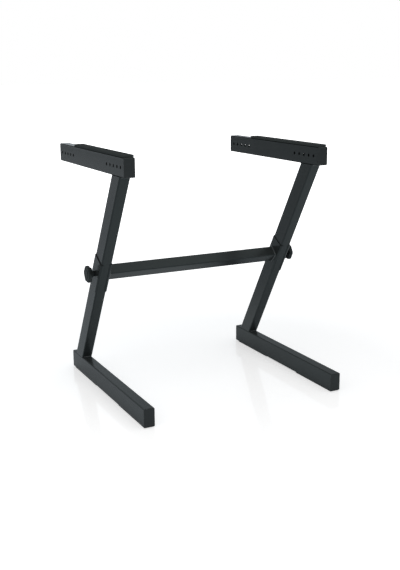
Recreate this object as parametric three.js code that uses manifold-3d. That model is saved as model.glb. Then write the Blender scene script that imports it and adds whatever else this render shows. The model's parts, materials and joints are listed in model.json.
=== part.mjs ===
import * as THREE from 'three';
import { mergeVertices } from 'three/addons/utils/BufferGeometryUtils.js';
import Module from 'manifold-3d';

// Keyboard stand with a Z-shaped frame on each side. Each frame is a foot, a post that leans
// forwards and an arm with a long pad on top, all of rectangular tube. One square crossbar,
// set on edge, ties the two posts. Each post sits between two channels of bent sheet that a
// star knob draws together.
// All lengths are millimetres. X runs along the crossbar, +Y points to the rear and +Z is up.
// The origin lies on the floor under the middle of the stand.

// Sizes of one frame, measured from the foot's front end and from its underside
const footLength = 550;
const armLength = 500;
const armSetback = 90;
const armHeight = 619;
const postFootPlace = 463;
const postArmPlace = 121.6;

// Tube of the feet and arms
const tubeWidth = 30;
const tubeHeight = 50;
const tubeWall = 1.5;
const tubeCorner = 3;

// Tube of the posts, as wide as the foot
const postDepth = 48;
const postWall = 1.5;
const postCorner = 3;

// Crossbar
const barLength = 529;
const barSize = 32;
const barWall = 2;
const barCorner = 3;
const barHeight = 335;

// Channels of bent sheet that hold a post
const channelSheet = 2;
const channelLength = 100;
const channelGrip = 6.4;
const channelBend = 5;

// Knob bolt, its washer and the nut welded behind the inner channel
const boltDiameter = 8;
const boltHoleDiameter = 9;
const boltSeatDepth = 12;
const boltTip = 2;
const washerDiameter = 16;
const washerThickness = 1.6;
const nutFlats = 13;
const nutSides = 6;
const nutHeight = 10;

// Star knob
const knobDiameter = 47;
const knobLobeDepth = 4;
const knobHeadThickness = 11;
const knobHeadEdge = 3;
const knobHubDiameter = 16;
const knobHubLength = 11;
const knobHubChamfer = 0.8;
const knobFlare = 3;
const knobCapDiameter = 24;
const knobCapRise = 1.4;
const knobTurnDegrees = 41;
const knobLobes = 6;

// Row of through-holes near each end of an arm
const armHoleDiameter = 8.5;
const armHolePitch = 24;
const armHoleCount = 5;

// Pad on the arm
const padThickness = 6.5;
const padSideInset = 1;
const padFrontInset = 7;
const padLength = 365;
const padCorner = 2;
const padEdge = 1.5;

// Strips under the foot
const stripThickness = 1.5;
const stripSideInset = 2;
const stripLength = 178;
const stripFrontInset = 5;
const stripRearInset = 17;

// Plugs in the tube ends
const capPlate = 3;
const capEdge = 2.5;
const capSleeveDepth = 12;
const capSleevePlay = 1;
const capSleeveWall = 2;
const capRibThickness = 1.5;
const capRibCount = 2;

// Welds
const weldLeg = 4.5;
const weldFillShare = 0.3;

// Clearance between pieces that touch, and the length by which a cut passes its piece
const seatGap = 0.3;
const cutOver = 4;

// Steps of the round forms
const cornerSteps = 4;
const holeSteps = 16;
const roundSteps = 24;
const lobeSteps = 8;
const edgeSteps = 2;

// Colours, roughness and metalness of the materials
const paint = new THREE.MeshStandardMaterial({ color: 0x24282a, roughness: 0.22, metalness: 0.1 });
const rubber = new THREE.MeshStandardMaterial({ color: 0x2b2f30, roughness: 0.8, metalness: 0 });
const plastic = new THREE.MeshStandardMaterial({ color: 0x1d2021, roughness: 0.45, metalness: 0 });
const steel = new THREE.MeshStandardMaterial({ color: 0x8d9294, roughness: 0.35, metalness: 1 });

// Places worked out from the sizes above
const lean = Math.atan((postFootPlace - postArmPlace) / (armHeight - tubeHeight));
const postHalfRun = postDepth / 2 / Math.cos(lean);
const barPlace = postFrontAt(barHeight) + postHalfRun;
const floorLift = stripThickness + seatGap;
const standDepth = Math.max(footLength, armSetback + armLength);
const frameCentre = barLength / 2 + seatGap + channelSheet + seatGap + tubeWidth / 2;
const channelOutside = tubeWidth / 2 + seatGap + channelSheet;

function postFrontAt(height) {
  return postFootPlace - (height - tubeHeight) * Math.tan(lean);
}

// Joining and cutting of closed solids

const wasm = await Module();
wasm.setup();

function toSolid(geometry) {
  const bare = geometry.clone();
  bare.deleteAttribute('normal');
  bare.deleteAttribute('uv');
  const merged = mergeVertices(bare);
  const vertProperties = new Float32Array(merged.attributes.position.array);
  const triVerts = new Uint32Array(merged.index.array);
  return new wasm.Manifold(new wasm.Mesh({ numProp: 3, vertProperties, triVerts }));
}

function toGeometry(solid) {
  const mesh = solid.getMesh();
  const geometry = new THREE.BufferGeometry();
  geometry.setAttribute('position', new THREE.BufferAttribute(mesh.vertProperties, 3));
  geometry.setIndex(new THREE.BufferAttribute(mesh.triVerts, 1));
  geometry.computeVertexNormals();
  return geometry;
}

function combine(base, joined, cut) {
  let solid = toSolid(base);
  for (const piece of joined) {
    solid = solid.add(toSolid(piece));
  }
  for (const piece of cut) {
    solid = solid.subtract(toSolid(piece));
  }
  return toGeometry(solid);
}

// Outlines

// Rectangle with round corners, centred on the origin.
function roundedOutline(width, height, radius) {
  const points = [];
  const signs = [[1, 1], [-1, 1], [-1, -1], [1, -1]];
  signs.forEach(([signX, signY], corner) => {
    const centreX = signX * (width / 2 - radius);
    const centreY = signY * (height / 2 - radius);
    for (let step = 0; step <= cornerSteps; step += 1) {
      const angle = (corner + step / cornerSteps) * Math.PI / 2;
      points.push(new THREE.Vector2(centreX + radius * Math.cos(angle), centreY + radius * Math.sin(angle)));
    }
  });
  return points;
}

// The outline of a tube's bore, one wall inside its outer outline.
function boreOutline(width, height, wall, corner) {
  return roundedOutline(width - 2 * wall, height - 2 * wall, corner - wall);
}

// Star of rounded lobes, one of them on the Y axis.
function starOutline() {
  const points = [];
  const count = knobLobes * lobeSteps;
  for (let step = 0; step < count; step += 1) {
    const angle = 2 * Math.PI * step / count;
    const dip = (1 - Math.cos(knobLobes * angle)) / 2;
    const radius = knobDiameter / 2 - knobLobeDepth * dip;
    points.push(new THREE.Vector2(-radius * Math.sin(angle), radius * Math.cos(angle)));
  }
  return points;
}

// Forms

function extrude(outline, length, options = {}) {
  return new THREE.ExtrudeGeometry(new THREE.Shape(outline), {
    depth: length,
    bevelEnabled: false,
    steps: 1,
    ...options,
  });
}

// Plate with a bore, both given as outlines.
function extrudeRing(outline, bore, length) {
  const shape = new THREE.Shape(outline);
  shape.holes.push(new THREE.Path(bore));
  return new THREE.ExtrudeGeometry(shape, { depth: length, bevelEnabled: false, steps: 1 });
}

// Closed solid through a stack of outlines that have as many points each.
function loft(layers) {
  const count = layers[0].outline.length;
  const positions = [];
  for (const { outline, level } of layers) {
    for (const point of outline) {
      positions.push(point.x, point.y, level);
    }
  }
  const index = [];
  for (let layer = 0; layer + 1 < layers.length; layer += 1) {
    for (let side = 0; side < count; side += 1) {
      const next = (side + 1) % count;
      const low = layer * count;
      const high = low + count;
      index.push(low + side, low + next, high + next);
      index.push(low + side, high + next, high + side);
    }
  }
  const top = (layers.length - 1) * count;
  for (const [a, b, c] of THREE.ShapeUtils.triangulateShape(layers[0].outline, [])) {
    index.push(a, c, b);
    index.push(top + a, top + b, top + c);
  }
  const geometry = new THREE.BufferGeometry();
  geometry.setAttribute('position', new THREE.Float32BufferAttribute(positions, 3));
  geometry.setIndex(index);
  return geometry;
}

// Closed plate along +Z that has its face on the XY plane and a rounded rim round that face.
function rimmedPlate(width, height, thickness, corner, edge) {
  const layers = [];
  for (let step = 0; step <= edgeSteps; step += 1) {
    const angle = step / edgeSteps * Math.PI / 2;
    const inset = edge * (1 - Math.sin(angle));
    const outline = roundedOutline(width - 2 * inset, height - 2 * inset, corner - inset);
    layers.push({ outline, level: edge * (1 - Math.cos(angle)) });
  }
  layers.push({ outline: roundedOutline(width, height, corner), level: thickness });
  return loft(layers);
}

// Turns a form built along Z so that it runs along X, with its own X up the Y axis.
function alongX(geometry) {
  const basis = new THREE.Matrix4().makeBasis(
    new THREE.Vector3(0, 1, 0),
    new THREE.Vector3(0, 0, 1),
    new THREE.Vector3(1, 0, 0),
  );
  return geometry.applyMatrix4(basis);
}

// Turns a form built along Z so that it runs along +Y from the XZ plane.
function alongY(geometry, length) {
  return geometry.rotateX(Math.PI / 2).translate(0, length, 0);
}

// Round cutter along X through a point of the YZ plane.
function holeCutter(diameter, length, place, height) {
  const cutter = new THREE.CylinderGeometry(diameter / 2, diameter / 2, length, holeSteps);
  return cutter.rotateZ(Math.PI / 2).translate(0, place, height);
}

// Feet and arms

function tubeGeometry(length) {
  const outline = roundedOutline(tubeWidth, tubeHeight, tubeCorner);
  const bore = boreOutline(tubeWidth, tubeHeight, tubeWall, tubeCorner);
  return alongY(extrudeRing(outline, bore, length), length);
}

function armTubeGeometry(length) {
  const cutters = [];
  for (let hole = 0; hole < armHoleCount; hole += 1) {
    const fromEnd = (hole + 1) * armHolePitch - capPlate - seatGap;
    for (const place of [fromEnd, length - fromEnd]) {
      cutters.push(holeCutter(armHoleDiameter, tubeWidth + cutOver, place, 0));
    }
  }
  return combine(tubeGeometry(length), [], cutters);
}

// Plug with a flush plate, a hollow sleeve and ribs that grip the tube. Its outer face lies on
// the XY plane and its sleeve runs along +Z.
function capGeometry() {
  const plate = rimmedPlate(tubeWidth, tubeHeight, capPlate, tubeCorner, capEdge);
  const boreWidth = tubeWidth - 2 * tubeWall;
  const boreHeight = tubeHeight - 2 * tubeWall;
  const sleeveInset = 2 * capSleevePlay;
  const sleeveCorner = tubeCorner - tubeWall;
  const overlap = capPlate / 2;
  const sleeve = extrude(
    roundedOutline(boreWidth - sleeveInset, boreHeight - sleeveInset, sleeveCorner),
    capSleeveDepth + overlap,
  ).translate(0, 0, capPlate - overlap);
  const ribs = [];
  for (let rib = 0; rib < capRibCount; rib += 1) {
    const level = capPlate + (rib + 1) * capSleeveDepth / (capRibCount + 1) - capRibThickness / 2;
    const outline = roundedOutline(boreWidth - 2 * seatGap, boreHeight - 2 * seatGap, sleeveCorner);
    ribs.push(extrude(outline, capRibThickness).translate(0, 0, level));
  }
  const hollowInset = sleeveInset + 2 * capSleeveWall;
  const hollow = extrude(
    roundedOutline(boreWidth - hollowInset, boreHeight - hollowInset, sleeveCorner),
    capSleeveDepth + cutOver,
  ).translate(0, 0, capPlate);
  return combine(plate, [sleeve, ...ribs], [hollow]);
}

// Long pad on the XY plane with its upper edges rounded, running along +Y.
function padGeometry() {
  const width = tubeWidth - 2 * padSideInset;
  const plate = rimmedPlate(width, padLength, padThickness, padCorner, padEdge);
  return toGeometry(toSolid(plate.rotateX(Math.PI).translate(0, padLength / 2, padThickness)));
}

function stripGeometry() {
  return new THREE.BoxGeometry(tubeWidth - 2 * stripSideInset, stripLength, stripThickness);
}

// Posts

// Weld across the post's front or rear face. The corner and both directions lie in the YZ plane.
function weldBead(corner, alongSeat, alongFace) {
  const intoWall = alongSeat.clone().multiplyScalar(-postWall / 2);
  const onSeat = corner.clone().addScaledVector(alongSeat, weldLeg);
  const onFace = corner.clone().addScaledVector(alongFace, weldLeg);
  const middle = onSeat.clone().add(onFace).multiplyScalar(1 / 2).lerp(corner, weldFillShare);
  const points = [corner.clone().add(intoWall), onSeat, middle, onFace, onFace.clone().add(intoWall)];
  const length = tubeWidth - 2 * postCorner;
  return alongX(extrude(points, length)).translate(-length / 2, 0, 0);
}

function postGeometry() {
  const bottom = tubeHeight + seatGap;
  const top = armHeight - seatGap;
  const slope = new THREE.Matrix4().set(
    1, 0, 0, 0,
    0, 1 / Math.cos(lean), -Math.tan(lean), 0,
    0, 0, 1, 0,
    0, 0, 0, 1,
  );
  const prism = (outline, low, high) => extrude(outline, high - low)
    .translate(0, 0, low - barHeight)
    .applyMatrix4(slope)
    .translate(0, barPlace, barHeight);
  const outside = prism(roundedOutline(tubeWidth, postDepth, postCorner), bottom, top);
  const bore = prism(boreOutline(tubeWidth, postDepth, postWall, postCorner), bottom - cutOver, top + cutOver);
  const forwards = new THREE.Vector2(-1, 0);
  const backwards = new THREE.Vector2(1, 0);
  const upFace = new THREE.Vector2(-Math.sin(lean), Math.cos(lean));
  const downFace = upFace.clone().negate();
  const beads = [];
  for (const [level, alongFace] of [[bottom, upFace], [top, downFace]]) {
    const front = new THREE.Vector2(postFrontAt(level), level);
    const rear = new THREE.Vector2(postFrontAt(level) + 2 * postHalfRun, level);
    beads.push(weldBead(front, forwards, alongFace));
    beads.push(weldBead(rear, backwards, alongFace));
  }
  const boltHole = holeCutter(boltHoleDiameter, tubeWidth + cutOver, barPlace, barHeight);
  return combine(outside, beads, [bore, boltHole]);
}

// Clamps, built about the bolt's axis with Z up the leaning post

// Channel whose web lies beyond the post on +X and whose flanges fold over its front and rear.
function channelGeometry() {
  const outerY = postDepth / 2 + seatGap + channelSheet;
  const innerY = outerY - channelSheet;
  const bendX = channelOutside - channelBend;
  const bendY = outerY - channelBend;
  const innerBend = channelBend - channelSheet;
  const tipX = tubeWidth / 2 - channelGrip;
  const quarter = Math.PI / 2;
  const shape = new THREE.Shape();
  shape.moveTo(tipX, -outerY);
  shape.absarc(bendX, -bendY, channelBend, -quarter, 0, false);
  shape.absarc(bendX, bendY, channelBend, 0, quarter, false);
  shape.lineTo(tipX, outerY);
  shape.lineTo(tipX, innerY);
  shape.absarc(bendX, bendY, innerBend, quarter, 0, true);
  shape.absarc(bendX, -bendY, innerBend, 0, -quarter, true);
  shape.lineTo(tipX, -innerY);
  const form = new THREE.ExtrudeGeometry(shape, {
    depth: channelLength,
    bevelEnabled: false,
    curveSegments: cornerSteps,
  });
  const boltHole = holeCutter(boltHoleDiameter, 2 * channelOutside + cutOver, 0, 0);
  return combine(form.translate(0, 0, -channelLength / 2), [], [boltHole]);
}

function washerGeometry() {
  const outline = circleOutline(washerDiameter);
  const bore = circleOutline(boltDiameter + 2 * seatGap);
  return extrudeRing(outline, bore, washerThickness);
}

function nutGeometry() {
  const outline = circleOutline(nutFlats / Math.cos(Math.PI / nutSides), nutSides);
  const bore = circleOutline(boltDiameter + 2 * seatGap);
  return extrudeRing(outline, bore, nutHeight);
}

function circleOutline(diameter, steps = roundSteps) {
  const points = [];
  for (let step = 0; step < steps; step += 1) {
    const angle = 2 * Math.PI * step / steps;
    points.push(new THREE.Vector2(diameter / 2 * Math.cos(angle), diameter / 2 * Math.sin(angle)));
  }
  return points;
}

// Length of the bolt from the hub's face to its tip beyond the nut.
function boltReach() {
  const passed = [washerThickness, channelSheet, tubeWidth, channelSheet, nutHeight];
  return passed.reduce((sum, thickness) => sum + seatGap + thickness, boltTip);
}

function boltGeometry() {
  const length = boltSeatDepth - seatGap + boltReach();
  return extrude(circleOutline(boltDiameter), length).translate(0, 0, -boltReach());
}

// Knob with its hub's face on the XY plane and its head away along +Z.
function knobGeometry() {
  const hub = knobHubDiameter / 2;
  const cap = knobCapDiameter / 2;
  const headTop = knobHubLength + knobHeadThickness;
  const profile = [
    new THREE.Vector2(0, 0),
    new THREE.Vector2(hub - knobHubChamfer, 0),
    new THREE.Vector2(hub, knobHubChamfer),
  ];
  for (let step = 0; step <= edgeSteps; step += 1) {
    const angle = step / edgeSteps * Math.PI / 2;
    const radius = hub + knobFlare * (1 - Math.cos(angle));
    profile.push(new THREE.Vector2(radius, knobHubLength - knobFlare * (1 - Math.sin(angle))));
  }
  profile.push(new THREE.Vector2(hub + knobFlare, knobHubLength + knobHeadThickness / 2));
  profile.push(new THREE.Vector2(cap, knobHubLength + knobHeadThickness / 2));
  profile.push(new THREE.Vector2(cap, headTop));
  profile.push(new THREE.Vector2(cap - knobCapRise, headTop + knobCapRise));
  profile.push(new THREE.Vector2(0, headTop + knobCapRise));
  const core = new THREE.LatheGeometry(profile, roundSteps).rotateX(Math.PI / 2);
  const head = extrude(starOutline(), knobHeadThickness - 2 * knobHeadEdge, {
    bevelEnabled: true,
    bevelThickness: knobHeadEdge,
    bevelSize: knobHeadEdge,
    bevelOffset: -knobHeadEdge,
    bevelSegments: edgeSteps,
  }).translate(0, 0, knobHubLength + knobHeadEdge);
  const seat = extrude(circleOutline(boltDiameter + 2 * seatGap), boltSeatDepth + cutOver);
  return combine(core, [head], [seat.translate(0, 0, -cutOver)]);
}

// Crossbar

// Square tube along Z with a weld round each end, turned on edge.
function barGeometry() {
  const outline = roundedOutline(barSize, barSize, barCorner);
  const wide = roundedOutline(barSize + 2 * weldLeg, barSize + 2 * weldLeg, barCorner + weldLeg);
  const waist = roundedOutline(
    barSize + 2 * weldLeg * weldFillShare,
    barSize + 2 * weldLeg * weldFillShare,
    barCorner + weldLeg * weldFillShare,
  );
  const waistLevel = weldLeg * weldFillShare;
  const welds = [
    loft([
      { outline: wide, level: 0 },
      { outline: waist, level: waistLevel },
      { outline, level: weldLeg },
    ]),
    loft([
      { outline, level: barLength - weldLeg },
      { outline: waist, level: barLength - waistLevel },
      { outline: wide, level: barLength },
    ]),
  ];
  const bore = extrude(boreOutline(barSize, barSize, barWall, barCorner), barLength + 2 * cutOver);
  const bar = combine(extrude(outline, barLength), welds, [bore.translate(0, 0, -cutOver)]);
  return bar.translate(0, 0, -barLength / 2).rotateZ(Math.PI / 4);
}

// Assembly

function addPiece(group, name, geometry, material) {
  const piece = new THREE.Mesh(geometry, material.clone());
  piece.name = name;
  group.add(piece);
  return piece;
}

function addCaps(group, name, length, height) {
  const front = addPiece(group, `${name}_front_cap`, capGeometry(), plastic);
  front.rotation.x = -Math.PI / 2;
  front.position.set(0, 0, height);
  const rear = addPiece(group, `${name}_rear_cap`, capGeometry(), plastic);
  rear.rotation.x = Math.PI / 2;
  rear.position.set(0, length, height);
}

function makeFoot(name) {
  const foot = new THREE.Group();
  const tubeStart = capPlate + seatGap;
  const tube = addPiece(foot, `${name}_foot_tube`, tubeGeometry(footLength - 2 * tubeStart), paint);
  tube.position.set(0, tubeStart, tubeHeight / 2);
  addCaps(foot, `${name}_foot`, footLength, tubeHeight / 2);
  const stripLevel = -seatGap - stripThickness / 2;
  const frontStrip = addPiece(foot, `${name}_foot_front_strip`, stripGeometry(), rubber);
  frontStrip.position.set(0, stripFrontInset + stripLength / 2, stripLevel);
  const rearStrip = addPiece(foot, `${name}_foot_rear_strip`, stripGeometry(), rubber);
  rearStrip.position.set(0, footLength - stripRearInset - stripLength / 2, stripLevel);
  return foot;
}

function makeArm(name) {
  const arm = new THREE.Group();
  const tubeStart = capPlate + seatGap;
  const tube = addPiece(arm, `${name}_arm_tube`, armTubeGeometry(armLength - 2 * tubeStart), paint);
  tube.position.set(0, tubeStart, tubeHeight / 2);
  addCaps(arm, `${name}_arm`, armLength, tubeHeight / 2);
  const pad = addPiece(arm, `${name}_arm_pad`, padGeometry(), rubber);
  pad.position.set(0, padFrontInset, tubeHeight + seatGap);
  arm.position.set(0, armSetback, armHeight);
  return arm;
}

// Both channels, the nut and the bolt with its washer and knob. The side is 1 on the right and
// -1 on the left, where the bolt points the other way.
function makeClamp(name, side) {
  const clamp = new THREE.Group();
  const outer = addPiece(clamp, `${name}_outer_channel`, channelGeometry(), paint);
  outer.rotation.z = side > 0 ? 0 : Math.PI;
  const inner = addPiece(clamp, `${name}_inner_channel`, channelGeometry(), paint);
  inner.rotation.z = side > 0 ? Math.PI : 0;

  const bolt = new THREE.Group();
  const washerSeat = channelOutside + seatGap;
  const hubSeat = washerSeat + washerThickness + seatGap;
  addPiece(bolt, `${name}_washer`, washerGeometry(), steel).position.z = washerSeat;
  addPiece(bolt, `${name}_bolt`, boltGeometry(), steel).position.z = hubSeat;
  addPiece(bolt, `${name}_nut`, nutGeometry(), steel).position.z = -channelOutside - seatGap - nutHeight;
  const knob = addPiece(bolt, `${name}_knob`, knobGeometry(), plastic);
  knob.position.z = hubSeat;
  bolt.rotation.y = side * Math.PI / 2;

  const turned = new THREE.Group();
  turned.add(bolt);
  turned.rotation.x = THREE.MathUtils.degToRad(knobTurnDegrees);
  clamp.add(turned);
  clamp.position.set(0, barPlace, barHeight);
  clamp.rotation.x = lean;
  return clamp;
}

function makeFrame(name, side) {
  const frame = new THREE.Group();
  frame.add(makeFoot(name));
  addPiece(frame, `${name}_post`, postGeometry(), paint);
  frame.add(makeArm(name));
  frame.add(makeClamp(name, side));
  frame.position.x = side * frameCentre;
  return frame;
}

const stand = new THREE.Group();
stand.add(makeFrame('left', -1));
stand.add(makeFrame('right', 1));
const crossbar = addPiece(stand, 'crossbar', alongX(barGeometry()), paint);
crossbar.position.set(0, barPlace, barHeight);
stand.position.set(0, -standDepth / 2, floorLift);
stand.updateMatrixWorld(true);

export default stand;
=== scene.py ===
import json
import math

import bmesh
import bpy
from mathutils import Matrix, Vector


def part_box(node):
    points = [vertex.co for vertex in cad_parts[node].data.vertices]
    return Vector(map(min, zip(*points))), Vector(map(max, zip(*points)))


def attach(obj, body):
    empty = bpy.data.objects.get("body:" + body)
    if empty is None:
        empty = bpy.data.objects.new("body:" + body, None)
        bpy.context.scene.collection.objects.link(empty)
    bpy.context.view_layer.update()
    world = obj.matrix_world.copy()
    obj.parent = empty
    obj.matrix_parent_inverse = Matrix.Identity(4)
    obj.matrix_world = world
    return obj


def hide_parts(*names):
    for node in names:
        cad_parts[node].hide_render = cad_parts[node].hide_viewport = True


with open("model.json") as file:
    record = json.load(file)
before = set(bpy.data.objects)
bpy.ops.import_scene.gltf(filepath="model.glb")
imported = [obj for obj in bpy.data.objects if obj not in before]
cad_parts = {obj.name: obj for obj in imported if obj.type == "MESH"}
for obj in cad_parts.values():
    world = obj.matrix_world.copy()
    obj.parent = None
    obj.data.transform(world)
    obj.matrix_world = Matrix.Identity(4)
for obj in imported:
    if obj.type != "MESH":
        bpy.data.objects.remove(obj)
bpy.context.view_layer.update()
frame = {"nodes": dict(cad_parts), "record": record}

SIDES = {"left": -1, "right": 1}

# Lean of the posts from upright, their depth across their length, and the side of the bar
LEAN = math.atan(0.6)
POST_DEPTH = 0.048
BAR_SIDE = 0.032

# Edges of the added pieces that turn by more than this stay sharp
SHARP_ANGLE = math.radians(40)

# Camera
CAMERA_PLACE = (-1.10322, -2.23135, 0.88762)
CAMERA_YAW = math.radians(26.49)
CAMERA_PITCH = math.radians(13.83)
CAMERA_ROLL = math.radians(0.40)
CAMERA_LENS = 56.35
SENSOR_WIDTH = 36

# Arm pad: radius of its upper edges, rise of its middle, and the steps that draw them
PAD_EDGE = 0.0016
PAD_CROWN = 0.0003
PAD_END_STEPS = 4
PAD_EDGE_STEPS = 6
PAD_CROWN_STEPS = 8

# How much painted shade darkens the pads' tops, and the heights of the normal where a face starts to
# count as top and where it is all top
PAD_TOP_SHADE = 0.32
PAD_TOP_FACING = (0.6, 0.95)

# Star knob, measured outwards from the hub's face: height, radius and share of the lobes.
# The turn is that of a lobe, from the rear upwards.
KNOB_LOBES = 6
KNOB_LOBE_DEPTH = 0.005
KNOB_SCALLOP = 1.1
KNOB_TURNS = {"left": math.radians(66), "right": math.radians(59)}
KNOB_STEPS = 96
KNOB_PROFILE = [
    (0.0000, 0.0044, 0.0), (0.0000, 0.0070, 0.0), (0.0002, 0.0076, 0.0), (0.0008, 0.0080, 0.0),
    (0.0030, 0.0080, 0.0), (0.0060, 0.0080, 0.0), (0.0082, 0.0080, 0.0), (0.0095, 0.0083, 0.0),
    (0.0105, 0.0090, 0.0), (0.0109, 0.0102, 0.1), (0.0110, 0.0125, 0.3), (0.0110, 0.0160, 0.7),
    (0.0110, 0.0185, 0.9), (0.0110, 0.0206, 1.0), (0.0112, 0.0217, 1.0), (0.0118, 0.0227, 1.0),
    (0.0127, 0.0234, 1.0), (0.0140, 0.0238, 0.94), (0.0168, 0.0239, 0.74), (0.0196, 0.0239, 0.5),
    (0.0209, 0.0236, 0.42), (0.0219, 0.0228, 0.4), (0.0225, 0.0218, 0.4), (0.0227, 0.0207, 0.4),
    (0.0226, 0.0190, 0.3), (0.0223, 0.0160, 0.2), (0.0221, 0.0138, 0.1), (0.0220, 0.0127, 0.0),
    (0.0214, 0.0123, 0.0), (0.0216, 0.0120, 0.0), (0.0226, 0.0119, 0.0), (0.0231, 0.0114, 0.0),
    (0.0233, 0.0104, 0.0), (0.0234, 0.0070, 0.0), (0.0234, 0.0030, 0.0),
]

# Thread of the clamp bolts: points round it, and rings to a pitch
THREAD_PITCH = 0.00125
THREAD_DEPTH = 0.0007
THREAD_STEPS = 16
THREAD_ROWS = 4

# Weld beads: radius, depth and pitch of the ripples, points round a bead, and spacing of its
# rings. An open bead tapers over its last stretch, and its tip keeps this share of its area.
BEAD_RADIUS = 0.0024
BEAD_RIPPLE = 0.00035
BEAD_PITCH = 0.0019
BEAD_STEPS = 10
BEAD_SPACING = 0.0004
BEAD_TAPER = 0.0022
BEAD_TIP_SHARE = 0.04

# A path's direction runs along an axis when its part along that axis is this much of it
NEARLY_ALONG = 0.9

# A post's beads stop short of its rounded corners and lie this far off its face. They lie
# further off the foot or arm where post and tube close to a sharp corner than where they open.
POST_CORNER = 0.0035
POST_BEAD_OUT = 0.0010
OPEN_CORNER_LIFT = 0.0010
SHARP_CORNER_LIFT = 0.0012

# The bar's beads lie this far in from its ends and outside its corners. Rounding takes this much
# off half its diagonal, and a bead's path cuts each corner by this share of a side.
BAR_BEAD_INSET = 0.0016
BAR_BEAD_OUT = 0.0006
BAR_CORNER_LOSS = 0.0012
BAR_CORNER_CUT = 0.06

# How far in from the arm tubes' outer faces the painted shade in their insides and holes starts
SHADE_INSET = 0.0002

# Coats: how much finer their second ripple is
FINE_RIPPLE = 3.4

# Moulded grain: scale of the noise that breaks it up, flow marks per metre, and what share of
# grain and flow shows in the tone
GRAIN_BREAKUP = 0.6
FLOW_MARKS = 34.0
GRAIN_IN_TONE = 0.6

# Touched edges, lighter as rubbed wear and as a painted highlight: how fast their mask rises with the
# edge's turn, and how many patches per metre
EDGE_GAIN = 6.0
EDGE_PATCHES = 90.0

# Dust: its shares on top and everywhere, the noise levels where a speck starts and is full, and
# the film's patches per metre and strength
DUST_ON_TOP = 0.85
DUST_EVERYWHERE = 0.15
SPECK_LEVELS = (0.6, 0.8)
FILM_PATCHES = 22.0
FILM_STRENGTH = 0.5

# Handling marks: how their streaks stretch along Y
STREAK_STRETCH = (9.0, 1.0, 9.0)

# Rays that find a rounded edge's normal
BEVEL_SAMPLES = 6

# Brightness of the studio's walls in reflections, from the horizon (0) to the ceiling (1)
BACKDROP = [
    (0.00, (0.93, 0.99, 1.04, 1)),
    (0.10, (0.86, 0.93, 0.98, 1)),
    (0.20, (0.56, 0.62, 0.66, 1)),
    (0.36, (0.39, 0.43, 0.46, 1)),
    (0.55, (0.20, 0.23, 0.24, 1)),
    (0.85, (0.09, 0.10, 0.11, 1)),
]

# Colour of the floor in reflections, by the distance from the stand in tens of metres: painted shade,
# darker than the camera's white and darkest far off
FAR_FLOOR_SHADE = [
    (0.00, (0.71, 0.77, 0.82, 1)),
    (0.15, (0.70, 0.76, 0.82, 1)),
    (0.30, (0.60, 0.64, 0.71, 1)),
    (0.55, (0.66, 0.70, 0.78, 1)),
    (0.63, (0.57, 0.61, 0.68, 1)),
    (0.70, (0.29, 0.31, 0.345, 1)),
    (0.78, (0.10, 0.11, 0.12, 1)),
    (1.00, (0.05, 0.06, 0.07, 1)),
]

# Glow that reflections add to the floor, by the same distance
FAR_GLOW = [
    (0.00, (0.08, 0.08, 0.08, 1)),
    (0.17, (0.08, 0.08, 0.08, 1)),
    (0.30, (0.04, 0.04, 0.04, 1)),
    (0.55, (0.18, 0.18, 0.18, 1)),
    (0.63, (0.21, 0.21, 0.21, 1)),
    (0.67, (0.15, 0.15, 0.15, 1)),
    (0.71, (0.02, 0.02, 0.02, 1)),
    (0.75, (0.00, 0.00, 0.00, 1)),
]

# Fades of the studio: where each starts and stops, and its value there. The first four go by the
# distance from the stand, the next two by the place along X, and the walls' two by how far a
# direction points along X.
FLOOR_FILL = (0.30, 4.0, 0.68, 1.30)
FLOOR_POLISH = (0.6, 1.5, 1.0, 0.0)
GLOW_CLOSE = (0.35, 0.80, 1.0, 0.0)
GLOW_NEARBY = (0.8, 1.2, 1.0, 0.0)
GLOW_BETWEEN = (0.10, 0.28, 0.36, 0.0)
GLOW_BESIDE = (0.42, 0.62, 0.0, 0.37)
WALL_ON_RIGHT = (0.28, 0.60, 1.0, 0.46)
WALL_ON_LEFT = (-0.60, -0.25, 0.45, 1.0)

# The floor's reach from the stand, and its two whites
FLOOR_REACH = 40
FLOOR_WHITES = ((0.80, 0.80, 0.80, 1), (0.84, 0.84, 0.84, 1))

# Brightness of the room for light that no mirror or camera sees
ROOM_GREY = (0.42, 0.42, 0.42, 1)

# Softboxes: name, place, target, width, height and power
SOFTBOXES = [
    ("overhead_softbox", (0.5, -1.0, 2.7), (0.0, 0.0, 0.2), 3.4, 2.6, 24),
    ("side_softbox", (-2.6, -1.2, 1.9), (0.0, 0.0, 0.3), 1.6, 1.6, 10),
]

WHITE = (1, 1, 1, 1)
BLACK = (0, 0, 0, 1)


# Small helpers for node trees

def put(tree, kind, inputs=None, **settings):
    """Adds a node, sets its options, and sets or links its inputs."""
    node = tree.nodes.new(kind)
    for name, value in settings.items():
        setattr(node, name, value)
    for key, value in (inputs or {}).items():
        if isinstance(value, bpy.types.NodeSocket):
            tree.links.new(value, node.inputs[key])
        else:
            node.inputs[key].default_value = value
    return node


def calc(tree, operation, first, second=0.0, clamp=False):
    """One sum on two values, of which each may be a socket."""
    node = put(tree, "ShaderNodeMath", {0: first, 1: second}, operation=operation, use_clamp=clamp)
    return node.outputs[0]


def blend_value(tree, factor, low, high):
    node = put(tree, "ShaderNodeMix", {0: factor, 2: low, 3: high}, data_type="FLOAT")
    return node.outputs[0]


def blend_colour(tree, factor, low, high):
    node = put(tree, "ShaderNodeMix", {0: factor, 6: low, 7: high}, data_type="RGBA")
    return node.outputs[2]


def fade(tree, value, start, stop, low, high):
    """Goes from low to high while a value goes from start to stop, and stays there beyond."""
    node = put(tree, "ShaderNodeMapRange", {
        "Value": value, "From Min": start, "From Max": stop, "To Min": low, "To Max": high,
    })
    return node.outputs["Result"]


def spread(tree, mask, low, high):
    """Spreads a mask of 0 to 1 over another range."""
    return fade(tree, mask, 0.0, 1.0, low, high)


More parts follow.
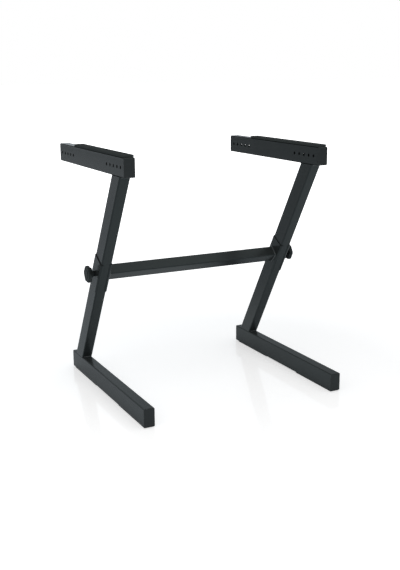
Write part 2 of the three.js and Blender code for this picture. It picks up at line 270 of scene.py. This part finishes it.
def graded(tree, value, stops):
    """Colour that changes with a value, through stops of a place and a colour each."""
    node = put(tree, "ShaderNodeValToRGB", {"Fac": value})
    ramp = node.color_ramp
    for element, (place, colour) in zip(ramp.elements, (stops[0], stops[-1])):
        element.position = place
        element.color = colour
    for place, colour in stops[1:-1]:
        ramp.elements.new(place).color = colour
    return node.outputs["Color"]


def noise(tree, place, scale, detail=2.0, roughness=0.5):
    node = put(tree, "ShaderNodeTexNoise", {
        "Vector": place, "Scale": scale, "Detail": detail, "Roughness": roughness,
    })
    return node.outputs["Fac"]


def object_place(tree):
    return put(tree, "ShaderNodeTexCoord").outputs["Object"]


def face_normal(tree):
    return put(tree, "ShaderNodeNewGeometry").outputs["Normal"]


def split(tree, vector):
    return put(tree, "ShaderNodeSeparateXYZ", {0: vector}).outputs


def ray_kinds(tree):
    """Two sockets: 1 for rays from the camera, and 1 for rays that a surface mirrors or passes."""
    path = put(tree, "ShaderNodeLightPath").outputs
    mirrored = calc(tree, "MAXIMUM", path["Is Glossy Ray"], path["Is Transmission Ray"])
    return path["Is Camera Ray"], mirrored


def start_group(name, inputs, outputs):
    """Makes a shader node group whose named inputs carry a default value each."""
    tree = bpy.data.node_groups.new(name, "ShaderNodeTree")
    for label, value in inputs.items():
        socket = tree.interface.new_socket(label, in_out="INPUT", socket_type="NodeSocketFloat")
        socket.default_value = value
    for label in outputs:
        tree.interface.new_socket(label, in_out="OUTPUT", socket_type="NodeSocketFloat")
    entry = tree.nodes.new("NodeGroupInput")
    leave = tree.nodes.new("NodeGroupOutput")
    return tree, entry.outputs, leave.inputs


def use_group(tree, group, **inputs):
    """Places a group in a material. Input names are given with underscores for spaces."""
    node = put(tree, "ShaderNodeGroup", node_tree=group)
    for label, value in inputs.items():
        node.inputs[label.replace("_", " ")].default_value = value
    return node.outputs


# Shared surface effects

def make_coat_ripple():
    """The faint waviness that sprayed and baked coats keep."""
    tree, given, result = start_group(
        "coat_ripple", {"Ripples Per Metre": 420.0, "Fine Share": 0.25}, ["Height"],
    )
    place = object_place(tree)
    broad = noise(tree, place, given["Ripples Per Metre"], detail=1.0)
    fine = noise(tree, place, calc(tree, "MULTIPLY", given["Ripples Per Metre"], FINE_RIPPLE))
    tree.links.new(blend_value(tree, given["Fine Share"], broad, fine), result["Height"])
    return tree


def make_moulded_grain():
    """The grain that a spark-eroded mould leaves on plastic and rubber, with shallow flow marks."""
    tree, given, result = start_group(
        "moulded_grain", {"Grains Per Metre": 2600.0, "Flow": 0.2}, ["Height", "Tone"],
    )
    place = object_place(tree)
    cells = put(tree, "ShaderNodeTexVoronoi", {"Vector": place, "Scale": given["Grains Per Metre"]})
    breakup_scale = calc(tree, "MULTIPLY", given["Grains Per Metre"], GRAIN_BREAKUP)
    soft = noise(tree, place, breakup_scale, detail=3.0)
    grain = calc(tree, "MULTIPLY", cells.outputs["Distance"], soft)
    flow = noise(tree, place, FLOW_MARKS, detail=4.0, roughness=0.6)
    height = calc(tree, "ADD", grain, calc(tree, "MULTIPLY", flow, given["Flow"]))
    tone = calc(
        tree, "ADD",
        calc(tree, "MULTIPLY", grain, GRAIN_IN_TONE),
        calc(tree, "MULTIPLY", flow, GRAIN_IN_TONE),
    )
    tree.links.new(height, result["Height"])
    tree.links.new(tone, result["Tone"])
    return tree


def make_edge_wear_and_highlight():
    """A mask that is 1 on outer edges, where hands and cases rub; where it lightens a colour, that is
    partly rubbed wear and partly a painted highlight.
    """
    tree, given, result = start_group("edge_wear_and_highlight", {"Width": 0.0012, "Breakup": 0.6}, ["Mask"])
    place = object_place(tree)
    rounded = put(tree, "ShaderNodeBevel", {"Radius": given["Width"]}, samples=BEVEL_SAMPLES)
    along = put(tree, "ShaderNodeVectorMath", {
        0: rounded.outputs["Normal"], 1: face_normal(tree),
    }, operation="DOT_PRODUCT")
    turn = calc(tree, "SUBTRACT", 1.0, along.outputs["Value"])
    edge = calc(tree, "MULTIPLY", turn, EDGE_GAIN, clamp=True)
    patches = noise(tree, place, EDGE_PATCHES, detail=5.0, roughness=0.65)
    broken = calc(tree, "SUBTRACT", 1.0, calc(tree, "MULTIPLY", patches, given["Breakup"]))
    tree.links.new(calc(tree, "MULTIPLY", edge, broken, clamp=True), result["Mask"])
    return tree


def make_settled_dust():
    """Specks and a thin film of dust, most of it on what faces up."""
    tree, given, result = start_group(
        "settled_dust", {"Amount": 0.3, "Specks Per Metre": 700.0}, ["Mask"],
    )
    place = object_place(tree)
    facing = split(tree, face_normal(tree))["Z"]
    upward = calc(tree, "MULTIPLY", calc(tree, "MAXIMUM", facing, 0.0), DUST_ON_TOP)
    everywhere = calc(tree, "ADD", upward, DUST_EVERYWHERE)
    specks = noise(tree, place, given["Specks Per Metre"])
    speckled = fade(tree, specks, *SPECK_LEVELS, 0.0, 1.0)
    film = noise(tree, place, FILM_PATCHES, detail=5.0, roughness=0.6)
    both = calc(tree, "ADD", calc(tree, "MULTIPLY", film, FILM_STRENGTH), speckled)
    settled = calc(tree, "MULTIPLY", both, everywhere)
    tree.links.new(calc(tree, "MULTIPLY", settled, given["Amount"], clamp=True), result["Mask"])
    return tree


def make_handling_marks():
    """Soft patches left by wiping and handling."""
    tree, given, result = start_group(
        "handling_marks", {"Patches Per Metre": 16.0, "Streak": 0.4}, ["Mask"],
    )
    place = object_place(tree)
    patches = noise(tree, place, given["Patches Per Metre"], detail=4.0, roughness=0.55)
    stretched = put(tree, "ShaderNodeMapping", {"Vector": place, "Scale": STREAK_STRETCH})
    streaks = noise(
        tree, stretched.outputs["Vector"], given["Patches Per Metre"], detail=4.0, roughness=0.6,
    )
    tree.links.new(blend_value(tree, given["Streak"], patches, streaks), result["Mask"])
    return tree


def make_painted_inside_shade():
    """A mask that is 1 inside a level tube and in its holes, where painted shade darkens the paint."""
    tree, given, result = start_group(
        "painted_inside_shade",
        {"Middle Across": 0.28, "Middle Height": 0.64, "Half Width": 0.0148, "Half Height": 0.0248},
        ["Mask"],
    )
    spot = split(tree, object_place(tree))
    either_side = calc(tree, "ABSOLUTE", spot["X"])
    across = calc(tree, "ABSOLUTE", calc(tree, "SUBTRACT", either_side, given["Middle Across"]))
    upward = calc(tree, "ABSOLUTE", calc(tree, "SUBTRACT", spot["Z"], given["Middle Height"]))
    within = calc(tree, "LESS_THAN", across, given["Half Width"])
    between = calc(tree, "LESS_THAN", upward, given["Half Height"])
    tree.links.new(calc(tree, "MULTIPLY", within, between), result["Mask"])
    return tree


coat_ripple = make_coat_ripple()
moulded_grain = make_moulded_grain()
edge_wear_and_highlight = make_edge_wear_and_highlight()
settled_dust = make_settled_dust()
handling_marks = make_handling_marks()
painted_inside_shade = make_painted_inside_shade()


# Materials

def start_material(name):
    material = bpy.data.materials.new(name)
    material.use_nodes = True
    tree = material.node_tree
    tree.nodes.clear()
    shader = tree.nodes.new("ShaderNodeBsdfPrincipled")
    output = tree.nodes.new("ShaderNodeOutputMaterial")
    tree.links.new(shader.outputs["BSDF"], output.inputs["Surface"])
    return material, tree, shader


def bump(tree, height, strength, distance, normal=None):
    inputs = {"Height": height, "Strength": strength, "Distance": distance}
    if normal is not None:
        inputs["Normal"] = normal
    return put(tree, "ShaderNodeBump", inputs).outputs["Normal"]


def soft_edges(tree, radius):
    return put(tree, "ShaderNodeBevel", {"Radius": radius}, samples=BEVEL_SAMPLES).outputs["Normal"]


def wire(tree, shader, colour, rough, normal):
    tree.links.new(colour, shader.inputs["Base Color"])
    tree.links.new(rough, shader.inputs["Roughness"])
    tree.links.new(normal, shader.inputs["Normal"])


def make_gloss_paint(name, hollow=None):
    """Black gloss on the steel. Where hollow gives the middle and half size of a level tube's section,
    its inside and its holes get painted shade, near black and rough."""
    material, tree, shader = start_material(name)
    marks = use_group(tree, handling_marks, Patches_Per_Metre=14.0, Streak=0.35)["Mask"]
    dust = use_group(tree, settled_dust, Amount=0.05, Specks_Per_Metre=650.0)["Mask"]
    edge = use_group(tree, edge_wear_and_highlight, Width=0.0006, Breakup=0.7)["Mask"]
    ripple = use_group(tree, coat_ripple, Ripples_Per_Metre=380.0, Fine_Share=0.3)["Height"]
    colour = blend_colour(tree, marks, (0.0245, 0.0280, 0.0283, 1), (0.0325, 0.0366, 0.0369, 1))
    # Lighter edges: rubbed wear and a painted highlight
    colour = blend_colour(tree, calc(tree, "MULTIPLY", edge, 0.25), colour, (0.040, 0.044, 0.045, 1))
    colour = blend_colour(tree, dust, colour, (0.16, 0.16, 0.155, 1))
    rough = calc(tree, "ADD", spread(tree, marks, 0.21, 0.27), calc(tree, "MULTIPLY", dust, 0.6))
    if hollow is not None:
        middle_across, middle_height, half_width, half_height = hollow
        inside_shade = use_group(
            tree, painted_inside_shade, Middle_Across=middle_across, Middle_Height=middle_height,
            Half_Width=half_width - SHADE_INSET, Half_Height=half_height - SHADE_INSET,
        )["Mask"]
        # Painted shade: near black inside the tube and in its holes
        colour = blend_colour(tree, inside_shade, colour, (0.0050, 0.0048, 0.0046, 1))
        rough = calc(tree, "MAXIMUM", rough, calc(tree, "MULTIPLY", inside_shade, 0.9))
    normal = bump(tree, ripple, 0.20, 0.00006, soft_edges(tree, 0.0003))
    wire(tree, shader, colour, rough, normal)
    shader.inputs["Specular IOR Level"].default_value = 0.235
    shader.inputs["Specular Tint"].default_value = (0.80, 1.0, 1.0, 1)
    return material


def make_bead_highlight_paint():
    """The frame's paint on the weld beads, made lighter as a painted highlight along their crowns."""
    material, tree, shader = start_material("weld_beads_painted_highlight")
    marks = use_group(tree, handling_marks, Patches_Per_Metre=240.0, Streak=0.2)["Mask"]
    ripple = use_group(tree, coat_ripple, Ripples_Per_Metre=1400.0, Fine_Share=0.4)["Height"]
    # Painted highlight: the beads' colour is lighter than the frame's
    colour = blend_colour(tree, marks, (0.048, 0.054, 0.056, 1), (0.085, 0.093, 0.095, 1))
    wire(tree, shader, colour, spread(tree, marks, 0.26, 0.40), bump(tree, ripple, 0.3, 0.00008))
    shader.inputs["Specular IOR Level"].default_value = 0.45
    return material


def make_pad_rubber():
    """Matte rubber with painted shade that makes its top darker."""
    material, tree, shader = start_material("arm_pad_rubber")
    grain = use_group(tree, moulded_grain, Grains_Per_Metre=1900.0, Flow=0.15)
    marks = use_group(tree, handling_marks, Patches_Per_Metre=26.0, Streak=0.6)["Mask"]
    dust = use_group(tree, settled_dust, Amount=0.05, Specks_Per_Metre=900.0)["Mask"]
    edge = use_group(tree, edge_wear_and_highlight, Width=0.0014, Breakup=0.5)["Mask"]
    colour = blend_colour(tree, grain["Tone"], (0.0430, 0.0500, 0.0495, 1), (0.0610, 0.0695, 0.0685, 1))
    # Lighter edges: rubbed wear and a painted highlight
    colour = blend_colour(tree, calc(tree, "MULTIPLY", edge, 0.3), colour, (0.072, 0.080, 0.079, 1))
    colour = blend_colour(tree, dust, colour, (0.14, 0.14, 0.135, 1))
    # Painted shade: faces that point up get a darker colour
    painted_top_shade = fade(tree, split(tree, face_normal(tree))["Z"], *PAD_TOP_FACING, 0.0, PAD_TOP_SHADE)
    colour = blend_colour(tree, painted_top_shade, colour, (0.020, 0.024, 0.024, 1))
    normal = bump(tree, grain["Height"], 0.5, 0.00025)
    wire(tree, shader, colour, spread(tree, marks, 0.80, 0.94), normal)
    shader.inputs["Specular IOR Level"].default_value = 0.04
    return material


def make_strip_rubber():
    """Dark, dusty rubber under the feet."""
    material, tree, shader = start_material("foot_strip_rubber")
    grain = use_group(tree, moulded_grain, Grains_Per_Metre=1500.0, Flow=0.3)
    marks = use_group(tree, handling_marks, Patches_Per_Metre=40.0, Streak=0.2)["Mask"]
    dust = use_group(tree, settled_dust, Amount=0.35, Specks_Per_Metre=500.0)["Mask"]
    colour = blend_colour(tree, grain["Tone"], (0.010, 0.010, 0.010, 1), (0.020, 0.020, 0.020, 1))
    colour = blend_colour(tree, dust, colour, (0.12, 0.115, 0.11, 1))
    normal = bump(tree, grain["Height"], 0.6, 0.0003)
    wire(tree, shader, colour, spread(tree, marks, 0.75, 0.92), normal)
    shader.inputs["Specular IOR Level"].default_value = 0.3
    return material


def make_cap_plastic():
    """Satin plastic of the plugs in the tubes' ends."""
    material, tree, shader = start_material("end_cap_plastic")
    grain = use_group(tree, moulded_grain, Grains_Per_Metre=3200.0, Flow=0.25)
    marks = use_group(tree, handling_marks, Patches_Per_Metre=30.0, Streak=0.2)["Mask"]
    edge = use_group(tree, edge_wear_and_highlight, Width=0.0012, Breakup=0.6)["Mask"]
    dust = use_group(tree, settled_dust, Amount=0.14, Specks_Per_Metre=800.0)["Mask"]
    colour = blend_colour(tree, grain["Tone"], (0.0185, 0.0230, 0.0230, 1), (0.0280, 0.0330, 0.0330, 1))
    # Lighter edges: rubbed wear and a painted highlight along the caps' rims
    colour = blend_colour(tree, calc(tree, "MULTIPLY", edge, 0.35), colour, (0.045, 0.048, 0.048, 1))
    colour = blend_colour(tree, dust, colour, (0.15, 0.15, 0.145, 1))
    normal = bump(tree, grain["Height"], 0.3, 0.00012, soft_edges(tree, 0.0008))
    wire(tree, shader, colour, spread(tree, marks, 0.30, 0.44), normal)
    shader.inputs["Specular IOR Level"].default_value = 0.35
    return material


def make_knob_plastic():
    """Satin plastic of the star knobs, darker than the plugs."""
    material, tree, shader = start_material("knob_plastic")
    grain = use_group(tree, moulded_grain, Grains_Per_Metre=2800.0, Flow=0.2)
    marks = use_group(tree, handling_marks, Patches_Per_Metre=60.0, Streak=0.1)["Mask"]
    edge = use_group(tree, edge_wear_and_highlight, Width=0.0016, Breakup=0.5)["Mask"]
    dust = use_group(tree, settled_dust, Amount=0.14, Specks_Per_Metre=900.0)["Mask"]
    colour = blend_colour(tree, grain["Tone"], (0.0110, 0.0130, 0.0130, 1), (0.0180, 0.0205, 0.0205, 1))
    # Lighter edges: rubbed wear and a painted highlight
    colour = blend_colour(tree, calc(tree, "MULTIPLY", edge, 0.4), colour, (0.040, 0.043, 0.043, 1))
    colour = blend_colour(tree, dust, colour, (0.15, 0.15, 0.145, 1))
    normal = bump(tree, grain["Height"], 0.35, 0.00015)
    wire(tree, shader, colour, spread(tree, marks, 0.44, 0.58), normal)
    shader.inputs["Specular IOR Level"].default_value = 0.32
    shader.inputs["Specular Tint"].default_value = (0.86, 1.0, 1.0, 1)
    return material


def make_dark_zinc():
    """Black zinc plating, brighter on its edges with wear and a painted highlight."""
    material, tree, shader = start_material("dark_zinc_steel")
    place = object_place(tree)
    marks = use_group(tree, handling_marks, Patches_Per_Metre=120.0, Streak=0.3)["Mask"]
    edge = use_group(tree, edge_wear_and_highlight, Width=0.0008, Breakup=0.4)["Mask"]
    ripple = use_group(tree, coat_ripple, Ripples_Per_Metre=2400.0, Fine_Share=0.5)["Height"]
    plating = put(tree, "ShaderNodeTexVoronoi", {"Vector": place, "Scale": 900.0}).outputs["Distance"]
    colour = blend_colour(tree, plating, (0.050, 0.052, 0.056, 1), (0.120, 0.118, 0.112, 1))
    # Lighter edges: worn plating and a painted highlight
    colour = blend_colour(tree, calc(tree, "MULTIPLY", edge, 0.5), colour, (0.34, 0.34, 0.34, 1))
    wire(tree, shader, colour, spread(tree, marks, 0.26, 0.44), bump(tree, ripple, 0.2, 0.00004))
    shader.inputs["Metallic"].default_value = 1.0
    return material


FINISHES = {
    "frame_paint": make_gloss_paint("gloss_black_paint"),
    "pad_rubber": make_pad_rubber(),
    "strip_rubber": make_strip_rubber(),
    "cap_plastic": make_cap_plastic(),
    "knob_plastic": make_knob_plastic(),
    "zinc_steel": make_dark_zinc(),
}

for subpart in frame["record"]["subparts"]:
    for holder in frame["nodes"][subpart["node"]].material_slots:
        holder.material = FINISHES[subpart["material_slot"]]


def paint_arms():
    """The arms' insides and holes get painted shade."""
    low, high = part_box("right_arm_tube")
    hollow = ((low.x + high.x) / 2, (low.z + high.z) / 2, (high.x - low.x) / 2, (high.z - low.z) / 2)
    paint = make_gloss_paint("gloss_black_arm_paint", hollow)
    for side in SIDES:
        for holder in frame["nodes"][f"{side}_arm_tube"].material_slots:
            holder.material = paint


paint_arms()
bead_highlight_paint = make_bead_highlight_paint()


# Pieces that replace or join the CAD nodes

def add_piece(name, mesh, slot, body, finish=None):
    """Links a finished mesh, gives it its finish and lets it ride on its body."""
    for polygon in mesh.polygons:
        polygon.use_smooth = True
    mesh.set_sharp_from_angle(angle=SHARP_ANGLE)
    mesh.materials.append(finish or FINISHES[slot])
    piece = bpy.data.objects.new(name, mesh)
    bpy.context.scene.collection.objects.link(piece)
    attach(piece, body)
    return piece


def rings_to_mesh(name, rings, close_start=True, closed_loop=False):
    """Skins a list of rings that have as many points each. The last ring is filled, and the first
    one where close_start says so, unless the rings join in a loop."""
    form = bmesh.new()
    rows = [[form.verts.new(point) for point in ring] for ring in rings]
    pairs = list(zip(rows, rows[1:]))
    if closed_loop:
        pairs.append((rows[-1], rows[0]))
    for low, high in pairs:
        count = len(low)
        for step in range(count):
            follow = (step + 1) % count
            form.faces.new((low[step], low[follow], high[follow], high[step]))
    if not closed_loop:
        if close_start:
            form.faces.new(list(reversed(rows[0])))
        form.faces.new(rows[-1])
    bmesh.ops.recalc_face_normals(form, faces=form.faces)
    mesh = bpy.data.meshes.new(name)
    form.to_mesh(mesh)
    form.free()
    return mesh


def pad_section(half_width, bottom, top):
    """Section in X and Z with rounded upper edges, from the lower left corner over the top."""
    inner = half_width - PAD_EDGE
    level = top - PAD_CROWN - PAD_EDGE
    points = [(-half_width, bottom)]
    for step in range(PAD_EDGE_STEPS + 1):
        angle = math.pi - step / PAD_EDGE_STEPS * math.pi / 2
        points.append((-inner + PAD_EDGE * math.cos(angle), level + PAD_EDGE * math.sin(angle)))
    for step in range(1, PAD_CROWN_STEPS):
        across = -inner + 2 * inner * step / PAD_CROWN_STEPS
        points.append((across, top - PAD_CROWN * (across / inner) ** 2))
    for step in range(PAD_EDGE_STEPS + 1):
        angle = math.pi / 2 - step / PAD_EDGE_STEPS * math.pi / 2
        points.append((inner + PAD_EDGE * math.cos(angle), level + PAD_EDGE * math.sin(angle)))
    points.append((half_width, bottom))
    return points


def build_pad(side):
    """A flat bar on the arm, rounded along its top and over its ends."""
    low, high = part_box(f"{side}_arm_pad")
    centre = (low.x + high.x) / 2
    half = (high.x - low.x) / 2
    thick = high.z - low.z
    ends = []
    for step in range(PAD_END_STEPS + 1):
        angle = step / PAD_END_STEPS * math.pi / 2
        ends.append((PAD_EDGE * (1 - math.cos(angle)), thick - PAD_EDGE * (1 - math.sin(angle))))
    stations = [(low.y + inset, tall) for inset, tall in ends]
    stations += [(high.y - inset, tall) for inset, tall in reversed(ends)]
    rings = []
    for along, tall in stations:
        section = pad_section(half, low.z, low.z + tall)
        rings.append([(centre + x, along, z) for x, z in section])
    pad = add_piece(f"{side}_pad", rings_to_mesh(f"{side}_pad", rings), "pad_rubber", "frame")
    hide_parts(f"{side}_arm_pad")


def clamp_axis(side):
    """A point on the clamp bolt's axis, taken from the washer."""
    low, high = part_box(f"{side}_washer")
    return (low + high) / 2


def knob_radius(radius, share, turn):
    """The reach at a height of the knob, by the angle from the nearest lobe."""
    dip = (1 - math.cos(KNOB_LOBES * turn)) / 2
    return radius - KNOB_LOBE_DEPTH * share * dip ** KNOB_SCALLOP


def build_knob(side):
    """A knob with a long hub, a star-shaped head and a round cap."""
    low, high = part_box(f"{side}_knob")
    sign = SIDES[side]
    hub_face = low.x if sign > 0 else high.x
    axis = clamp_axis(side)
    rings = []
    for height, radius, share in KNOB_PROFILE:
        ring = []
        for step in range(KNOB_STEPS):
            angle = 2 * math.pi * step / KNOB_STEPS
            reach = knob_radius(radius, share, angle - KNOB_TURNS[side])
            ring.append((
                hub_face + sign * height,
                axis.y + reach * math.cos(angle),
                axis.z + reach * math.sin(angle),
            ))
        rings.append(ring)
    mesh = rings_to_mesh(f"{side}_star_knob", rings, close_start=False)
    knob = add_piece(f"{side}_star_knob", mesh, "knob_plastic", f"{side}_knob_bolt")
    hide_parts(f"{side}_knob")


def build_bolt(side):
    """A thread that runs out over one pitch at each end."""
    low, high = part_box(f"{side}_bolt")
    axis = clamp_axis(side)
    radius = (high.z - low.z) / 2
    rows = int((high.x - low.x) / THREAD_PITCH * THREAD_ROWS)
    rings = []
    for row in range(rows + 1):
        place = low.x + (high.x - low.x) * row / rows
        lead = min(row, rows - row, THREAD_ROWS) / THREAD_ROWS
        ring = []
        for step in range(THREAD_STEPS):
            turn = step / THREAD_STEPS
            phase = (place / THREAD_PITCH - turn) % 1.0
            ridge = 1 - abs(2 * phase - 1)
            reach = radius - THREAD_DEPTH * (1 - ridge * lead)
            angle = 2 * math.pi * turn
            ring.append((place, axis.y + reach * math.cos(angle), axis.z + reach * math.sin(angle)))
        rings.append(ring)
    mesh = rings_to_mesh(f"{side}_threaded_bolt", rings)
    bolt = add_piece(f"{side}_threaded_bolt", mesh, "zinc_steel", f"{side}_knob_bolt")
    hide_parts(f"{side}_bolt")


def walk(path, spacing, closed):
    """Points along a polyline at an even spacing, each with its direction and its distance."""
    stops = path + [path[0]] if closed else path
    legs = [(end - start).length for start, end in zip(stops, stops[1:])]
    total = sum(legs)
    count = max(2, round(total / spacing))
    places = []
    for step in range(count if closed else count + 1):
        along = total * step / count
        left = along
        leg = 0
        while leg < len(legs) - 1 and left > legs[leg]:
            left -= legs[leg]
            leg += 1
        start, end = stops[leg], stops[leg + 1]
        places.append((start.lerp(end, left / legs[leg]), (end - start).normalized(), along))
    return places


def build_bead(name, path, closed=False):
    """A weld bead with the ripples of its laying, swept along a path."""
    rings = []
    places = walk(path, BEAD_SPACING, closed)
    last = places[-1][2]
    for point, direction, along in places:
        runs_along_x = abs(direction.x) >= NEARLY_ALONG
        guide = Vector((0, 0, 1)) if runs_along_x else Vector((1, 0, 0))
        side = direction.cross(guide).normalized()
        other = direction.cross(side)
        ripple = abs(math.sin(math.pi * along / BEAD_PITCH))
        radius = BEAD_RADIUS - BEAD_RIPPLE * (1 - ripple)
        if not closed:
            to_tip = min(along, last - along)
            radius *= math.sqrt(max(BEAD_TIP_SHARE, min(1.0, to_tip / BEAD_TAPER)))
        rings.append([
            point + radius * (math.cos(turn) * side + math.sin(turn) * other)
            for turn in (2 * math.pi * step / BEAD_STEPS for step in range(BEAD_STEPS))
        ])
    mesh = rings_to_mesh(name, rings, closed_loop=closed)
    add_piece(name, mesh, "frame_paint", "frame", bead_highlight_paint)


def build_post_beads(side):
    """Welds across the front and the rear of a post, on the foot and under the arm."""
    post_low, post_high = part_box(f"{side}_post")
    foot_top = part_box(f"{side}_foot_tube")[1].z
    arm_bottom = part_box(f"{side}_arm_tube")[0].z
    centre = (post_low.x + post_high.x) / 2
    half = (post_high.x - post_low.x) / 2 - POST_CORNER
    axis = clamp_axis(side)
    half_run = POST_DEPTH / 2 / math.cos(LEAN)
    seats = {"foot": (foot_top, 1), "arm": (arm_bottom, -1)}
    for seat, (height, upward) in seats.items():
        middle = axis.y - (height - axis.z) * math.tan(LEAN)
        for face, outward in (("front", -1), ("rear", 1)):
            lift = SHARP_CORNER_LIFT if outward * upward < 0 else OPEN_CORNER_LIFT
            point_y = middle + outward * half_run + outward * POST_BEAD_OUT
            point_z = height + upward * lift
            path = [Vector((x, point_y, point_z)) for x in (centre - half, centre + half)]
            build_bead(f"{side}_post_{seat}_{face}_weld", path)


def build_bar_beads():
    """A weld round each end of the bar, which is set on edge."""
    low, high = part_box("crossbar")
    axis = clamp_axis("left")
    reach = BAR_SIDE / 2 * math.sqrt(2) - BAR_CORNER_LOSS + BAR_BEAD_OUT
    corners = [(0, 1), (-1, 0), (0, -1), (1, 0)]
    for side, sign in SIDES.items():
        end = high.x if sign > 0 else low.x
        place = end - sign * BAR_BEAD_INSET
        path = []
        for (y, z), (next_y, next_z) in zip(corners, corners[1:] + corners[:1]):
            for share in (BAR_CORNER_CUT, 1 - BAR_CORNER_CUT):
                path.append(Vector((
                    place,
                    axis.y + reach * (y + (next_y - y) * share),
                    axis.z + reach * (z + (next_z - z) * share),
                )))
        build_bead(f"crossbar_{side}_weld", path, closed=True)


for side in SIDES:
    build_pad(side)
    build_knob(side)
    build_bolt(side)
    build_post_beads(side)
build_bar_beads()


# Studio

def add_camera():
    data = bpy.data.cameras.new("camera")
    data.lens = CAMERA_LENS
    data.sensor_width = SENSOR_WIDTH
    camera = bpy.data.objects.new("camera", data)
    bpy.context.scene.collection.objects.link(camera)
    forward = Vector((
        math.sin(CAMERA_YAW) * math.cos(CAMERA_PITCH),
        math.cos(CAMERA_YAW) * math.cos(CAMERA_PITCH),
        -math.sin(CAMERA_PITCH),
    ))
    level = Vector((math.cos(CAMERA_YAW), -math.sin(CAMERA_YAW), 0))
    down = forward.cross(level)
    if down.z > 0:
        down.negate()
    right = math.cos(CAMERA_ROLL) * level + math.sin(CAMERA_ROLL) * down
    lower = -math.sin(CAMERA_ROLL) * level + math.cos(CAMERA_ROLL) * down
    turn = Matrix((right, -lower, -forward)).transposed()
    camera.matrix_world = Matrix.Translation(CAMERA_PLACE) @ turn.to_4x4()
    bpy.context.scene.camera = camera


def make_floor_gloss():
    """White gloss that the camera sees as plain white further off. Reflections see the floor in painted
    shade that darkens it far away, and a painted glow for the softboxes' light on it between and beside
    the frames."""
    material, tree, shader = start_material("white_gloss_floor")
    place = object_place(tree)
    away = put(tree, "ShaderNodeVectorMath", {0: place}, operation="LENGTH").outputs["Value"]
    tens = calc(tree, "MULTIPLY", away, 0.1)
    rightward = split(tree, place)["X"]
    aside = calc(tree, "ABSOLUTE", rightward)
    camera_ray, mirrored = ray_kinds(tree)
    between = calc(
        tree, "MULTIPLY", fade(tree, aside, *GLOW_BETWEEN), fade(tree, away, *GLOW_CLOSE),
    )
    beside = calc(
        tree, "MULTIPLY", fade(tree, rightward, *GLOW_BESIDE), fade(tree, away, *GLOW_NEARBY),
    )
    near_glow = calc(tree, "ADD", between, beside)
    mirrored_glow = calc(tree, "ADD", near_glow, graded(tree, tens, FAR_GLOW))
    glow = calc(
        tree, "ADD",
        calc(tree, "MULTIPLY", fade(tree, away, *FLOOR_FILL), camera_ray),
        calc(tree, "MULTIPLY", mirrored_glow, mirrored),
    )
    near_colour = blend_colour(tree, noise(tree, place, 3.0), *FLOOR_WHITES)
    # Painted shade: mirrored rays see the floor darker than the camera's white, more so far off
    colour = blend_colour(tree, camera_ray, graded(tree, tens, FAR_FLOOR_SHADE), near_colour)
    polish = calc(tree, "MULTIPLY", fade(tree, away, *FLOOR_POLISH), camera_ray)
    tree.links.new(colour, shader.inputs["Base Color"])
    tree.links.new(glow, shader.inputs["Emission Strength"])
    tree.links.new(polish, shader.inputs["Coat Weight"])
    shader.inputs["Emission Color"].default_value = WHITE
    shader.inputs["Roughness"].default_value = 0.30
    shader.inputs["Specular IOR Level"].default_value = 0.4
    shader.inputs["Coat Roughness"].default_value = 0.06
    shader.inputs["Coat IOR"].default_value = 1.7
    return material


def add_floor():
    form = bmesh.new()
    bmesh.ops.create_grid(form, x_segments=1, y_segments=1, size=FLOOR_REACH)
    mesh = bpy.data.meshes.new("floor")
    form.to_mesh(mesh)
    form.free()
    floor = bpy.data.objects.new("floor", mesh)
    bpy.context.scene.collection.objects.link(floor)
    mesh.materials.append(make_floor_gloss())


def add_world():
    """White for the camera, and walls for reflections, dimmer above and to the sides."""
    world = bpy.data.worlds.new("studio")
    bpy.context.scene.world = world
    world.use_nodes = True
    tree = world.node_tree
    tree.nodes.clear()
    direction = split(tree, put(tree, "ShaderNodeTexCoord").outputs["Generated"])
    across, height = direction["X"], direction["Z"]
    sideways = calc(
        tree, "MULTIPLY", fade(tree, across, *WALL_ON_RIGHT), fade(tree, across, *WALL_ON_LEFT),
    )
    backdrop = blend_colour(tree, sideways, BLACK, graded(tree, height, BACKDROP))
    camera_ray, mirrored = ray_kinds(tree)
    colour = blend_colour(tree, mirrored, ROOM_GREY, backdrop)
    colour = blend_colour(tree, camera_ray, colour, WHITE)
    sky = put(tree, "ShaderNodeBackground", {"Color": colour, "Strength": 1.0})
    put(tree, "ShaderNodeOutputWorld", {"Surface": sky.outputs[0]})


def add_softbox(name, place, target, width, height, power):
    data = bpy.data.lights.new(name, "AREA")
    data.shape = "RECTANGLE"
    data.size = width
    data.size_y = height
    data.energy = power
    lamp = bpy.data.objects.new(name, data)
    bpy.context.scene.collection.objects.link(lamp)
    lamp.location = place
    lamp.rotation_euler = (Vector(target) - Vector(place)).to_track_quat("-Z", "Y").to_euler()


add_camera()
add_floor()
add_world()
for softbox in SOFTBOXES:
    add_softbox(*softbox)
bpy.context.scene.view_settings.view_transform = "Standard"
